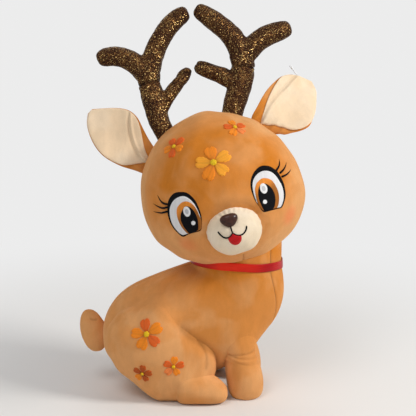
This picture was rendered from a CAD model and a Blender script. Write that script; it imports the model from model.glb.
import math

import bpy
import numpy as np
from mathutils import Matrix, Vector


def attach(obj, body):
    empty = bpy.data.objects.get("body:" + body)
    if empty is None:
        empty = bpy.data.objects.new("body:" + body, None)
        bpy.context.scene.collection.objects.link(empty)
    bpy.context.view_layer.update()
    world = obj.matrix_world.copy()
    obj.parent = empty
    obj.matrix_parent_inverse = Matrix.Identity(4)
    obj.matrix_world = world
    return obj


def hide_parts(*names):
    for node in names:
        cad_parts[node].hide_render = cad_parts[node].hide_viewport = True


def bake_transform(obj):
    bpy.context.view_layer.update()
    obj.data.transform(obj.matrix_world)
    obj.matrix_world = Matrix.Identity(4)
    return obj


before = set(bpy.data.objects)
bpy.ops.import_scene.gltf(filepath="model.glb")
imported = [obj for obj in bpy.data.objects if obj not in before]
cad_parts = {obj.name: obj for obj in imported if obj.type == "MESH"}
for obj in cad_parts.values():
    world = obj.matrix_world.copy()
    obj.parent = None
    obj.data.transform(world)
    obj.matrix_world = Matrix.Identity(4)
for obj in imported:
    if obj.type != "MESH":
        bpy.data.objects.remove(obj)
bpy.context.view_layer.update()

# Body: the deer's sewn trunk, short brushed velvet pulled tight over its filling.
# Two side panels meet along the back; a narrow leaf of the same velvet closes the chest, and an
# oval closes the underside. The panels are sewn right sides together, so each seam sinks a little.
SIDES = ((-1, "near"), (1, "far"))
BODY_LENGTH, BODY_HEIGHT, BODY_WIDTH = 0.220, 0.160, 0.112
NECK_RADIUS, NECK_X = 0.054, 0.090
BODY_MIDDLE = np.array([0.02, 0, 0.09])
CLOTH = 0.0012
CARAMEL = (0.610, 0.205, 0.026, 1)
BRUSHED_CARAMEL = (0.720, 0.350, 0.135, 1)
# Along and up of the back, along and up of the belly, and the width, each a share of the body's.
BODY_LINE = (
    (-0.300, 0.225, -0.227, 0.150, 0.22),
    (-0.327, 0.325, -0.155, 0.050, 0.62),
    (-0.343, 0.450, -0.040, -0.035, 0.88),
    (-0.322, 0.585, 0.127, -0.035, 1.00),
    (-0.260, 0.717, 0.300, 0.150, 1.04),
    (-0.153, 0.820, 0.460, 0.312, 1.06),
    (-0.018, 0.900, 0.622, 0.510, 1.04),
    (0.114, 0.962, 0.684, 0.750, 1.00),
)
NECK_LEVELS = (0.975, 1.0, 1.12, 1.22)


def spline(rows, count):
    """A cubic B-spline down a table: each value is four rows weighted by (1-t)^3, 3t^3-6t^2+4,
    -3t^3+3t^2+3t+1 and t^3, over 6. A mirrored row past each end makes it meet the end rows."""
    rows = np.asarray(rows, float)
    rows = np.vstack([2 * rows[0] - rows[1], rows, 2 * rows[-1] - rows[-2]])
    place = np.linspace(0, len(rows) - 3, count)
    k = np.minimum(place.astype(int), len(rows) - 4)
    t = (place - k)[:, None]
    first = (1 - t) ** 3 * rows[k] + (3 * t**3 - 6 * t**2 + 4) * rows[k + 1]
    return (first + (-3 * t**3 + 3 * t**2 + 3 * t + 1) * rows[k + 2] + t**3 * rows[k + 3]) / 6


def ring_rows(*columns):
    """A table of rings from nine columns or single numbers: centre, first and second half axis."""
    return np.column_stack(np.broadcast_arrays(*columns))


def stuffed_form(rows, count, open_end=False):
    """The stations of a stuffed form: splined rows of centre, first and second half axis, with a
    point added at each closed end, so that the rings shrink to a rounded tip."""
    tips = np.hstack([rows[[0, -1], :3], np.zeros((2, 6))])
    return spline(np.vstack([tips[:1], rows] if open_end else [tips[:1], rows, tips[1:]]), count)


def ring_turns(count):
    """Even turns once round, without the last, which is the first again."""
    return np.linspace(0, 2 * math.pi, count + 1)[:-1]


def rings(stations, turns):
    """Points of the form: centre + first axis * cos(turn) + second axis * sin(turn)."""
    turns = np.broadcast_to(turns, (len(stations), np.shape(turns)[-1]))[..., None]
    centre, first, second = stations[:, None, :3], stations[:, None, 3:6], stations[:, None, 6:9]
    return centre + first * np.cos(turns) + second * np.sin(turns)


def bell(away, width):
    """1 where the distance is 0, falling off as exp(-(distance / width)^2)."""
    return np.exp(-((away / width) ** 2))


def smooth_share(value, low, high):
    """0 below low, 1 above high and an even S-curve between."""
    t = np.clip((value - low) / (high - low), 0, 1)
    return t * t * (3 - 2 * t)


def reach(stations, points):
    """How far points lie outside a form: to the nearest of its rings' discs, by Pythagoras from
    the height over the disc and the way in along its plane."""
    flat = points.reshape(-1, 3)
    stations = stations[(stations[:, 3:] ** 2).sum(1) > 1e-6]
    centre, first, second = stations[:, :3], stations[:, 3:6], stations[:, 6:9]
    upright = np.cross(first, second)
    upright /= np.linalg.norm(upright, axis=1)[:, None] + 1e-12
    across = first / ((first**2).sum(1)[:, None] + 1e-9)
    deep = second / ((second**2).sum(1)[:, None] + 1e-9)
    away = np.full(len(flat), 1.0)
    for some in np.array_split(np.arange(len(flat)), max(len(flat) // 4000, 1)):
        spot = flat[some]
        u = spot @ across.T - (centre * across).sum(1)
        v = spot @ deep.T - (centre * deep).sum(1)
        h = spot @ upright.T - (centre * upright).sum(1)
        k = np.sqrt(u**2 + v**2) + 1e-9
        radius = np.sqrt((u / k) ** 2 * (first**2).sum(1) + (v / k) ** 2 * (second**2).sum(1))
        away[some] = np.sqrt((np.maximum(k - 1, 0) * radius) ** 2 + h**2).min(1)
    return away.reshape(points.shape[:-1])


def outward(points, inside):
    """Unit directions square to a grid of points, the cross product of its two slopes, all on
    the side away from a point inside the form."""
    out = np.cross(np.gradient(points, axis=1), np.gradient(points, axis=0))
    out = out / (np.linalg.norm(out, axis=2)[..., None] + 1e-12)
    return out * np.sign(((points - inside) * out).sum(2).mean())


def swell_into(points, out, other, radius, share=1.0):
    """Draws cloth up where another stuffed form is sewn against it: a point moves outward by
    (radius - distance)^2 / (4 radius) within that distance, which rounds the hollow between."""
    away = reach(other, points)
    rise = np.where(away < radius, (radius - away) ** 2 / (4 * radius), 0)
    return points + out * (rise * share)[..., None]


def sewn_mesh(name, points, wrap=False, inside=(0, 0, 0), **shares):
    """A mesh of four-sided faces over a grid of points, its last column joined to the first
    where it wraps, equal points merged and faces turned away from the inside point. Each share,
    such as tone, the light that a fold leaves, is kept with the points as an attribute."""
    rows, columns = points.shape[:2]
    index = np.arange(rows * columns).reshape(rows, columns)
    if wrap:
        index = np.hstack([index, index[:, :1]])
    quads = np.stack([index[:-1, :-1], index[1:, :-1], index[1:, 1:], index[:-1, 1:]], -1)
    quads = quads.reshape(-1, 4)
    flat = points.reshape(-1, 3)
    faces = flat[quads]
    out = np.cross(faces[:, 2] - faces[:, 0], faces[:, 3] - faces[:, 1])
    if (out * (faces.mean(1) - np.asarray(inside))).sum() < 0:
        quads = quads[:, ::-1]
    mesh = bpy.data.meshes.new(name)
    mesh.from_pydata(flat.tolist(), [], quads.tolist())
    for key, value in {"tone": 1.0, **shares}.items():
        value = np.broadcast_to(value, points.shape[:2]).astype(np.float32)
        mesh.attributes.new(key, "FLOAT", "POINT").data.foreach_set("value", value.ravel())
    obj = bpy.data.objects.new(name, mesh)
    bpy.context.scene.collection.objects.link(obj)
    return finish_with(obj, "WELD", merge_threshold=1e-6)


def finish_with(obj, kind, **settings):
    """Adds a modifier with these settings and applies it to the mesh."""
    modifier = obj.modifiers.new(kind.lower(), kind)
    for key, value in settings.items():
        setattr(modifier, key, value)
    bpy.context.view_layer.update()
    graph = bpy.context.evaluated_depsgraph_get()
    old = obj.data
    finished = bpy.data.meshes.new_from_object(obj.evaluated_get(graph))
    obj.modifiers.clear()
    obj.data = finished
    finished.name = old.name
    bpy.data.meshes.remove(old)
    finished.polygons.foreach_set("use_smooth", np.ones(len(finished.polygons), bool))
    return obj


def new_material(name, held):
    """A material, its tree and its shader, which holds these plain values."""
    material = bpy.data.materials.new(name)
    material.use_nodes = True
    shader = material.node_tree.nodes["Principled BSDF"]
    for key, value in held.items():
        shader.inputs[key].default_value = value
    return material, material.node_tree, shader


def new_group(name, inputs, outputs):
    """An empty node group with sockets of these names and kinds: the group, what it is given
    and what it puts out."""
    group = bpy.data.node_groups.new(name, "ShaderNodeTree")
    for way, sockets in (("INPUT", inputs), ("OUTPUT", outputs)):
        for label, kind in sockets.items():
            group.interface.new_socket(label, in_out=way, socket_type="NodeSocket" + kind)
    given, made = group.nodes.new("NodeGroupInput"), group.nodes.new("NodeGroupOutput")
    return group, given.outputs, made.inputs


def node(tree, kind, values=(), **settings):
    """A shader node with settings, and values for its inputs by name or number; a value that is
    a socket is linked."""
    made = tree.nodes.new("ShaderNode" + kind)
    for key, value in settings.items():
        setattr(made, key, value)
    for key, value in dict(values).items():
        socket = made.inputs[key]
        if isinstance(value, bpy.types.NodeSocket):
            tree.links.new(value, socket)
        else:
            socket.default_value = value
    return made


def own_place(tree):
    """The place on the object, in metres."""
    return node(tree, "TexCoord").outputs["Object"]


def kept_share(tree, name):
    """A share that the mesh keeps with its points."""
    return node(tree, "Attribute", attribute_name=name).outputs["Fac"]


def math_node(tree, operation, first, second=0.0, clamp=False):
    """One sum on one or two values."""
    sum_node = node(tree, "Math", {0: first, 1: second}, operation=operation, use_clamp=clamp)
    return sum_node.outputs[0]


def scaled(tree, colour, share):
    """A colour or direction times a value."""
    return node(tree, "VectorMath", {0: colour, "Scale": share}, operation="SCALE").outputs[0]


def mixed(tree, share, first, second):
    """Two colours mixed by a share."""
    return node(tree, "Mix", {0: share, 6: first, 7: second}, data_type="RGBA").outputs[2]


def ramp(tree, value, low, high, to_low=0.0, to_high=1.0):
    """A value taken from one range to another, smoothly."""
    ends = {"From Min": low, "From Max": high, "To Min": to_low, "To Max": to_high}
    made = node(tree, "MapRange", {"Value": value, **ends}, interpolation_type="SMOOTHSTEP")
    return made.outputs[0]


def noise(tree, place, scale, detail=2.0, rough=0.5, twist=0.0):
    """Soft noise at a scale."""
    values = {"Scale": scale, "Detail": detail, "Roughness": rough, "Distortion": twist}
    return node(tree, "TexNoise", {"Vector": place, **values}).outputs[0]


def bumped(tree, shader, height, strength, distance):
    """Lets a height stand out of the surface."""
    bump = node(tree, "Bump", {"Strength": strength, "Distance": distance, "Height": height})
    tree.links.new(bump.outputs["Normal"], shader.inputs["Normal"])


def velvet_group():
    """Brushed short pile: soft broad patches where the pile lies the other way and looks paler,
    faint short streaks, a grain of fibre ends, and the dark that the seams and folds give it. The
    brushed attribute says where the whole pile was stroked the paler way."""
    sockets = {"Colour": "Color", "Brushed": "Color", "Patch Size": "Float", "Patch Share": "Float"}
    group, given, made = new_group("brushed_pile", sockets, {"Colour": "Color", "Height": "Float"})
    place = own_place(group)
    patches = noise(group, place, given["Patch Size"], 3.0, 0.45, 0.6)
    streak_place = node(group, "Mapping", {"Vector": place, "Scale": (1.0, 1.0, 0.4)}).outputs[0]
    streaks = noise(group, streak_place, 110.0, 2.0, 0.6, 0.4)
    grain = noise(group, place, 1700.0, 2.0, 0.6)
    share = math_node(group, "MULTIPLY", ramp(group, patches, 0.40, 0.68), given["Patch Share"])
    share = math_node(group, "ADD", share, kept_share(group, "brushed"), clamp=True)
    short = ramp(group, streaks, 0.34, 0.70, -0.035, 0.035)
    fibre = ramp(group, grain, 0.25, 0.75, -0.05, 0.05)
    pile = mixed(group, share, given["Colour"], given["Brushed"])
    lift = math_node(group, "ADD", math_node(group, "ADD", short, fibre), 1.0)
    lift = math_node(group, "MULTIPLY", lift, kept_share(group, "tone"))
    group.links.new(scaled(group, pile, lift), made["Colour"])
    group.links.new(math_node(group, "ADD", fibre, short), made["Height"])
    return group


BRUSHED_PILE = velvet_group()
WARM_SHEEN = (1.0, 0.70, 0.38, 1)


def velvet(name, colour, brushed, patch_size=22.0, patch_share=0.55, sheen=0.35, tint=WARM_SHEEN):
    """Short velvet in a colour, its pile lit at a slant by the shader's own sheen."""
    held = {"Roughness": 0.88, "Specular IOR Level": 0.06, "Sheen Weight": sheen}
    held.update({"Sheen Roughness": 0.34, "Sheen Tint": tint})
    material, tree, shader = new_material(name, held)
    pile = node(tree, "Group", node_tree=BRUSHED_PILE)
    for socket, value in zip(pile.inputs, (colour, brushed, patch_size, patch_share)):
        socket.default_value = value
    tree.links.new(pile.outputs["Colour"], shader.inputs["Base Color"])
    bumped(tree, shader, pile.outputs["Height"], 0.5, 0.0020)
    return material


CARAMEL_VELVET = velvet("caramel_velvet", CARAMEL, BRUSHED_CARAMEL)


def body_form():
    """Rings from the rump's back and belly points up the trunk, then level round the neck."""
    sizes = (BODY_LENGTH, BODY_HEIGHT, BODY_LENGTH, BODY_HEIGHT, BODY_WIDTH / 2)
    back, back_up, belly, belly_up, half = (np.array(BODY_LINE) * sizes).T
    centre = ((back + belly) / 2, 0, (back_up + belly_up) / 2)
    trunk = ring_rows(*centre, (belly - back) / 2, 0, (belly_up - back_up) / 2, 0, half, 0)
    level = np.array(NECK_LEVELS) * BODY_HEIGHT
    neck = ring_rows(NECK_X, 0, level, NECK_RADIUS, 0, 0, 0, NECK_RADIUS, 0)
    return stuffed_form(np.vstack([trunk, neck]), 220, open_end=True)


BODY = body_form()

# The thighs' and forelegs' forms stand here because the body's cloth is drawn up to them. Each
# row is a ring's height, its middle along, and its half length and half width, all in shares.
THIGH_HEIGHT, THIGH_LENGTH, THIGH_HALF, THIGH_THICK, THIGH_ASIDE = 0.118, 0.116, 0.058, 0.030, 0.039
THIGH_SHARES = (
    (0.000, -0.02, 0.30, 0.40),
    (0.070, -0.02, 0.72, 0.72),
    (0.260, 0.02, 1.02, 0.96),
    (0.500, 0.045, 1.09, 1.04),
    (0.740, -0.04, 0.95, 0.92),
    (0.920, -0.14, 0.66, 0.62),
    (1.000, -0.18, 0.34, 0.30),
)
FORELEG_HEIGHT, FORELEG_THICK, FORELEG_X, FORELEG_ASIDE = 0.075, 0.047, 0.094, 0.033
FORELEG_SHARES = (
    (-0.03, 0.14, 0.32, 0.32),
    (0.05, 0.15, 0.45, 0.44),
    (0.28, 0.12, 0.49, 0.48),
    (0.52, 0.06, 0.46, 0.46),
    (0.66, 0.01, 0.41, 0.43),
    (0.80, -0.03, 0.36, 0.40),
    (0.94, -0.03, 0.33, 0.36),
    (1.10, -0.02, 0.25, 0.26),
    (1.22, -0.02, 0.12, 0.12),
)


def thigh_form(side):
    """Level rings up one thigh."""
    up, along, half, thick = np.array(THIGH_SHARES).T
    centre = (along * THIGH_LENGTH, side * THIGH_ASIDE, up * THIGH_HEIGHT)
    return stuffed_form(ring_rows(*centre, half * THIGH_HALF, 0, 0, 0, thick * THIGH_THICK, 0), 120)


def foreleg_form(side):
    """Level rings up one foreleg."""
    up, along, half, wide = np.array(FORELEG_SHARES).T
    centre = (FORELEG_X + along * FORELEG_THICK, side * FORELEG_ASIDE, up * FORELEG_HEIGHT)
    axes = (half * FORELEG_THICK, 0, 0, 0, wide * FORELEG_THICK, 0)
    return stuffed_form(ring_rows(*centre, *axes), 100)


THIGHS = {side: thigh_form(side) for side, _ in SIDES}
FORELEGS = {side: foreleg_form(side) for side, _ in SIDES}
LIMB_FILLET, LEG_FILLET = 0.034, 0.028
GUSSET_LOW, GUSSET_HEIGHT, GUSSET_HALF = 0.066, 0.094, 0.037
# The panel seams: how deep and how broad the cloth sinks, and the dark line's strength and breadth.
SEAM_SINK, SEAM_WIDTH, SEAM_SHADE, SHADE_WIDTH = 0.0010, 0.0020, 0.312, 0.0010
RUMP_LIFT, SEAT_LIFT, LIFT_TOP, HIP_SLOPE = 0.021, 0.012, 0.095, 0.011


def gusset_edge(stations):
    """How far round each ring the chest panel reaches: its half width is a sine from its low tip
    up to the neck, and the turn is its arcsine over the ring's width, found in six rounds."""
    edge = np.zeros(len(stations))
    for _ in range(6):
        height = stations[:, 2] + stations[:, 5] * np.cos(edge)
        share = np.clip((height - GUSSET_LOW) / GUSSET_HEIGHT, 0, 1)
        limit = GUSSET_HALF * np.sin(share * math.pi / 2) ** 0.8
        edge = np.arcsin(np.clip(limit / np.maximum(stations[:, 7], 1e-6), 0, 0.97))
    return edge


def seam_bell(points, column, width):
    """A bell over the distance along each row from a grid's edge column, where a seam runs."""
    steps = np.linalg.norm(np.diff(points, axis=1), axis=2)
    run = np.hstack([np.zeros((len(points), 1)), np.cumsum(steps, axis=1)])
    return bell(run if column == 0 else run[:, -1:] - run, width)


def hip_share(points):
    """Where the thigh flows into the body: behind and above, less low down."""
    rear = smooth_share(-points[..., 0], -0.030, 0.005)
    low = smooth_share(-points[..., 2], -0.060, -0.030)
    return rear, rear * (1 - 0.5 * low)


def rest_flat(points):
    """Raises the rump's underside, most at its back corners, by up to 20 mm at the ground and
    less with height, presses what would lie under the ground flat on it, and slopes the hips down
    beside the back seam by 11 mm."""
    points = points.copy()
    back, aside, up = -points[..., 0], np.abs(points[..., 1]), np.maximum(points[..., 2], 0.0)
    outer = smooth_share(aside, 0.014, 0.040)
    corner = RUMP_LIFT * smooth_share(back, 0.0, 0.046) * outer
    middle = SEAT_LIFT * smooth_share(back, 0.024, 0.052) * (1 - outer)
    slope = smooth_share(aside, 0.010, 0.034) * smooth_share(up, 0.078, 0.112)
    slope = HIP_SLOPE * (slope * smooth_share(back, 0.0, 0.032))
    points[..., 2] = up + (corner + middle) * np.clip(1 - up / LIFT_TOP, 0, 1) ** 1.4 - slope
    return points


def stroked(points):
    """How far the body's pile is stroked the paler way: more towards the rump and the feet."""
    rear = smooth_share(-points[..., 0], -0.050, 0.010)
    low = smooth_share(-points[..., 2], -0.095, -0.035)
    under_ribbon = smooth_share(-points[..., 2], -0.155, -0.120)
    return 0.30 * under_ribbon + 0.35 * rear + 0.20 * low


def cloth_panel(name, points, inside, brushed, tone=1.0, wrap=False):
    """A panel of caramel velvet over a grid of points, its thickness laid inwards."""
    panel = sewn_mesh(name, points, wrap, inside, tone=tone, brushed=brushed)
    finish_with(panel, "SOLIDIFY", thickness=CLOTH, offset=-1)
    panel.data.materials.append(CARAMEL_VELVET)
    return panel


for side, label in SIDES:
    turns = math.pi + np.linspace(0, 1, 150)[None, :] * (gusset_edge(BODY)[:, None] - math.pi)
    points = rings(BODY, turns * side)
    out = outward(points, BODY_MIDDLE)
    rear, hip = hip_share(points)
    points = swell_into(points, out, THIGHS[side], LIMB_FILLET, hip)
    points = swell_into(points, out, FORELEGS[side], LEG_FILLET, 0.9)
    hollow = bell(reach(THIGHS[side], points), 0.0050) * (1 - rear)
    tuck = bell(reach(FORELEGS[side], points), 0.0040) * (points[..., 2] > 0.04)
    back_dip = 0.0006 * seam_bell(points, 0, 0.0022)
    dip = back_dip + SEAM_SINK * seam_bell(points, -1, SEAM_WIDTH)
    points = points - out * (dip + 0.0016 * hollow + 0.0010 * tuck)[..., None]
    tone = 1 - SEAM_SHADE * seam_bell(points, -1, SHADE_WIDTH)
    tone = tone - 0.12 * seam_bell(points, 0, SHADE_WIDTH)
    tone = tone * (1 - 0.30 * hollow**2) * (1 - 0.18 * tuck**2)
    panel = cloth_panel("body_side_" + label, rest_flat(points), BODY_MIDDLE, stroked(points), tone)
    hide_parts("torso_side_" + label, *(["torso_stuffing"] if side < 0 else []))
    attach(panel, "torso")

# Chest panel: the narrow leaf of lighter-brushed velvet between the side panels, its low tip
# between the forelegs and its top under the ribbon. Sewn in with the pile running down.
station = BODY[BODY[:, 2] + BODY[:, 5] > GUSSET_LOW - 0.002]
reached = np.maximum(gusset_edge(station), 0.004)[:, None]
points = rings(station, np.linspace(-1, 1, 90)[None, :] * reached)
out = outward(points, BODY_MIDDLE)
dip = SEAM_SINK * (seam_bell(points, 0, SEAM_WIDTH) + seam_bell(points, -1, SEAM_WIDTH))
tone = 1 - SEAM_SHADE * (seam_bell(points, 0, SHADE_WIDTH) + seam_bell(points, -1, SHADE_WIDTH))
sunk = points - out * dip[..., None]
chest = cloth_panel("chest_panel", sunk, BODY_MIDDLE, stroked(points), tone)
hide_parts("chest_gusset")
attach(chest, "torso")

# Seat: the oval of the same velvet that closes the body underneath. It is sewn in last, when the
# filling is in, and lies flat on the ground, where the toy sits on it.
SEAT_X, SEAT_HALF_LENGTH, SEAT_HALF_WIDTH, SEAT_CURL = 0.004, 0.0268, 0.0218, 0.0007
turns = ring_turns(72)
share = np.linspace(0, 1, 14)[:, None]
level = SEAT_X + SEAT_HALF_LENGTH * share * np.cos(turns)
aside = SEAT_HALF_WIDTH * share * np.sin(turns)
points = np.stack([level, aside, SEAT_CURL * share**6 + 0 * turns], -1)
inside = (SEAT_X, 0, 0.02)
seat = cloth_panel("seat_oval", rest_flat(points), inside, stroked(points), wrap=True)
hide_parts("seat_panel")
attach(seat, "torso")

# Thighs: stuffed pads sewn on the body's sides, drawn in along the front edge, where a panel seam
# runs down to the foot. Behind and above, the velvet runs over into the body.
FOOT_X, FOOT_LENGTH, FOOT_HEIGHT, FOOT_WIDTH, FOOT_ASIDE = 0.020, 0.058, 0.040, 0.036, 0.055
# A row is a ring's place forward and its middle's height, and its half height and half width.
FOOT_SHARES = (
    (0.00, 0.46, 0.42, 0.38),
    (0.18, 0.44, 0.46, 0.48),
    (0.52, 0.40, 0.42, 0.51),
    (0.80, 0.35, 0.37, 0.47),
    (0.95, 0.31, 0.27, 0.35),
    (1.01, 0.30, 0.13, 0.17),
)


def foot_form(side):
    """Upright rings out along one hind foot."""
    forward, up, half, wide = np.array(FOOT_SHARES).T
    centre = (FOOT_X + forward * FOOT_LENGTH, side * FOOT_ASIDE, up * FOOT_HEIGHT)
    return stuffed_form(ring_rows(*centre, 0, wide * FOOT_WIDTH, 0, 0, 0, half * FOOT_HEIGHT), 100)


def crease(points, path, width):
    """A bell over the distance from a line of points, the nearest of its short steps counting."""
    path = spline(path, 120)
    flat = points.reshape(-1, 1, 3)
    away = np.sqrt(((flat[:, :, [0, 2]] - path[None]) ** 2).sum(2)).min(1)
    return bell(away, width).reshape(points.shape[:-1])


def mesh_points(mesh, normals=False):
    """A mesh's points as an array, and with them its outward directions there."""
    place = np.zeros(len(mesh.vertices) * 3)
    mesh.vertices.foreach_get("co", place)
    if not normals:
        return place.reshape(-1, 3)
    way = np.zeros(len(place))
    mesh.vertex_normals.foreach_get("vector", way)
    return place.reshape(-1, 3), way.reshape(-1, 3)


def move_points(mesh, points):
    """Puts a mesh's points at these places."""
    mesh.vertices.foreach_set("co", points.ravel())
    mesh.update()


CLOTH_SETTINGS = {
    "quality": 6,
    "mass": 0.2,
    "tension_stiffness": 12,
    "compression_stiffness": 12,
    "bending_stiffness": 0.4,
    "use_pressure": True,
    "uniform_pressure_force": 4,
}


def puffed(obj, slack, cap, neighbour, near=0.004, far=0.016):
    """Blender's Cloth on a copy of a padded piece: remeshed at 4 mm, drawn in by the slack, blown
    up from inside for 20 frames without gravity, no point moving further than the cap. The sewn
    mesh takes the moves of the copy's nearest points, weighted by 1 / distance^4, so its seams
    stay, and takes none of them where it meets its neighbour."""
    copy = bpy.data.objects.new("stuffing_copy", obj.data.copy())
    bpy.context.scene.collection.objects.link(copy)
    finish_with(copy, "REMESH", mode="VOXEL", voxel_size=0.004)
    place, way = mesh_points(copy.data, True)
    start = place - slack * way
    move_points(copy.data, start)
    cloth = copy.modifiers.new("cloth", "CLOTH").settings
    for key, value in CLOTH_SETTINGS.items():
        setattr(cloth, key, value)
    cloth.effector_weights.gravity = 0
    for step in range(1, 21):
        bpy.context.scene.frame_set(step)
    grown = copy.evaluated_get(bpy.context.evaluated_depsgraph_get()).to_mesh()
    move = mesh_points(grown) - start
    size = np.linalg.norm(move, axis=1)
    move *= np.minimum(1, cap / np.maximum(size, 1e-9))[:, None]
    bpy.context.scene.frame_set(1)
    bpy.data.objects.remove(copy)
    mine, out = mesh_points(obj.data, True)
    taken = np.zeros(mine.shape)
    for some in np.array_split(np.arange(len(mine)), len(mine) // 2000 + 1):
        gap = ((mine[some][:, None] - place[None]) ** 2).sum(2)
        weight = 1 / (gap + 1e-6) ** 2
        taken[some] = (weight @ move) / weight.sum(1)[:, None]
    swell = (taken * out).sum(1)
    free = smooth_share(reach(neighbour, mine), near, far)
    moved = mine + (taken - swell.mean() * out) * free[:, None]
    moved[:, 2] = np.maximum(moved[:, 2], 0)
    move_points(obj.data, moved)


def stuffed_cloth(name, points, inside, brushed, tone=1.0):
    """A closed skin of caramel velvet over the rings of a stuffed form."""
    piece = sewn_mesh(name, points, True, inside, tone=tone, brushed=brushed)
    piece.data.materials.append(CARAMEL_VELVET)
    return piece


FEET = {side: foot_form(side) for side, _ in SIDES}
THIGH_SEAM = ((0.0430, 0.0790), (0.0500, 0.0690), (0.0535, 0.0590), (0.0525, 0.0440))
FOOT_FILLET = 0.024
SLACK, MOST_MOVE = 0.0015, 0.008

for side, label in SIDES:
    points = rings(THIGHS[side], ring_turns(160))
    inside = np.array([0.0, side * THIGH_ASIDE, 0.055])
    out = outward(points, inside)
    rear, hip = hip_share(points)
    points = swell_into(points, out, BODY, LIMB_FILLET, hip)
    points = swell_into(points, out, FEET[side], FOOT_FILLET, 0.95)
    away = reach(BODY, points)
    near_body = (1 - rear) * (points[..., 2] > 0.03)
    rim = bell(away - 0.008, 0.006) * near_body
    tuck = bell(away, 0.0026) * near_body
    dip = crease(points, THIGH_SEAM, 0.0015) * (points[..., 1] * side > 0.04)
    points = points + out * (0.0016 * rim - 0.0009 * dip)[..., None]
    tone = (1 - 0.22 * dip) * (1 - 0.30 * tuck)
    thigh = stuffed_cloth("thigh_" + label, rest_flat(points), inside, stroked(points), tone)
    puffed(thigh, SLACK, MOST_MOVE, BODY, 0.006, 0.022)
    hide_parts("haunch_" + label)
    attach(thigh, "torso")

# Hind feet: stubby stuffed ends of the thighs, rounded in front and pressed flat underneath. The
# velvet of the thigh runs down into them, with the thigh's front seam ending at the instep.
for side, label in SIDES:
    points = rings(FEET[side], ring_turns(120))
    inside = np.array([0.045, side * FOOT_ASIDE, 0.02])
    points = swell_into(points, outward(points, inside), THIGHS[side], FOOT_FILLET, 0.95)
    name = "hind_foot_cloth_" + label
    foot = stuffed_cloth(name, rest_flat(points), inside, stroked(points))
    puffed(foot, SLACK, MOST_MOVE, THIGHS[side])
    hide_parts("hind_foot_" + label)
    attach(foot, "torso")

# Forelegs: straight stuffed legs of the same velvet, standing on the ground in front of the
# chest. They are gathered in short folds where they are sewn on, and a seam runs down outside.
# A fold's row is its height, slope and bow over the leg, and its depth as a share of the first.
LEG_FOLDS = ((0.0580, 0.05, 3.0, 1.0), (0.0535, -0.18, 4.0, 0.8), (0.0475, -0.30, 6.0, 0.45))

for side, label in SIDES:
    points = rings(FORELEGS[side], ring_turns(140))
    inside = np.array([0.096, side * FORELEG_ASIDE, 0.035])
    out = outward(points, inside)
    upper = smooth_share(points[..., 2], 0.044, 0.066)
    points = swell_into(points, out, BODY, LEG_FILLET, 0.9 * upper)
    along, height = points[..., 0] - FORELEG_X, points[..., 2]
    folds = 0
    for level, slope, bow, depth in LEG_FOLDS:
        line = level + slope * along + bow * along**2
        folds = folds + depth * bell(height - line, 0.0015)
    seam = bell(along + 0.0155 + 0.05 * height, 0.0012) * (points[..., 1] * side > FORELEG_ASIDE)
    swell = 0.0010 * bell(height - 0.0505, 0.0030)
    points = points + out * (swell - 0.0011 * folds - 0.0005 * seam)[..., None]
    tone = 1 - 0.13 * folds - 0.14 * seam
    name = "foreleg_cloth_" + label
    leg = stuffed_cloth(name, rest_flat(points), inside, stroked(points), tone)
    puffed(leg, SLACK, MOST_MOVE, BODY)
    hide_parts("foreleg_" + label)
    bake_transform(leg)

# Tail: a small stuffed leaf of the same velvet, sewn from two halves and caught in the back seam
# over the seat. It lies close to the rump and points up, with a short crease near its tip.
TAIL_X, TAIL_Z, TAIL_DEEP, TAIL_HEIGHT, TAIL_WIDTH = -0.0705, 0.071, 0.032, 0.052, 0.026
TAIL_LEAN = 0.0052
up, back, half, wide = np.array(
    (
        (-0.50, 0.46, 0.16, 0.18),
        (-0.42, 0.46, 0.34, 0.36),
        (-0.15, 0.48, 0.50, 0.50),
        (0.15, 0.50, 0.50, 0.48),
        (0.42, 0.54, 0.34, 0.32),
        (0.52, 0.56, 0.14, 0.14),
    )
).T
centre = (TAIL_X - back * TAIL_DEEP - up * TAIL_LEAN, 0, TAIL_Z + up * TAIL_HEIGHT)
rows = ring_rows(*centre, half * TAIL_DEEP, 0, 0, 0, wide * TAIL_WIDTH, 0)
points = rings(stuffed_form(rows, 90), ring_turns(110))
inside = np.array([TAIL_X - TAIL_DEEP / 2, 0, TAIL_Z])
out = outward(points, inside)
points = swell_into(points, out, BODY, 0.006, 0.6)
dip = crease(points, ((-0.0880, 0.0890), (-0.0850, 0.0875), (-0.0815, 0.0880)), 0.0012)
points = points - out * (0.0010 * dip)[..., None]
tail = stuffed_cloth("tail_cloth", points, inside, stroked(points), 1 - 0.2 * dip)
puffed(tail, 0.0010, 0.006, BODY, 0.002, 0.010)
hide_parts("tail")
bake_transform(tail)

# Neck ribbon: one band of red satin drawn round the neck, its end lapped over its start behind
# and tacked. It was cut 372 mm long and 10 mm wide.
RIBBON_WIDTH, RIBBON_LENGTH, RIBBON_THICK, RIBBON_LOW = 0.0100, 0.372, 0.0005, 0.1602
RIBBON_START, RIBBON_TURN, LAP_RISE = 87, 386, 0.0011
BRIGHT_RED, DEEP_RED = (0.84, 0.030, 0.006, 1), (0.36, 0.002, 0.005, 1)


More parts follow.
